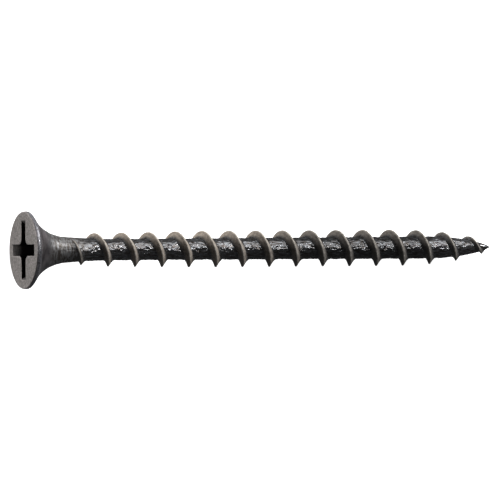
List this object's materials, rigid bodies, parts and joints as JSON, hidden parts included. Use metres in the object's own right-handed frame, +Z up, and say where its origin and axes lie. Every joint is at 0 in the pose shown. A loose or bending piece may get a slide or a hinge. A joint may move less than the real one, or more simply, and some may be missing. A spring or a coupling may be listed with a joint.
{
  "type": "wood screw",
  "caption": "Black steel screw with a bugle head, cross recess, coarse right-hand thread and sharp point, for fixing board and timber.",
  "frame": {"origin": "bottom centre of the screw's box: halfway along its length, under the axis, on the plane that the head's rim touches", "axes": "+X runs along the screw from the head towards the point; +Z is up from the surface it lies on, with the axis one head radius above it"},
  "size_m": [0.055, 0.0086, 0.0085],
  "materials": {
    "black_steel": "satin"
  },
  "bodies": {
    "root": {"screw": "black_steel"}
  },
  "joints": []
}
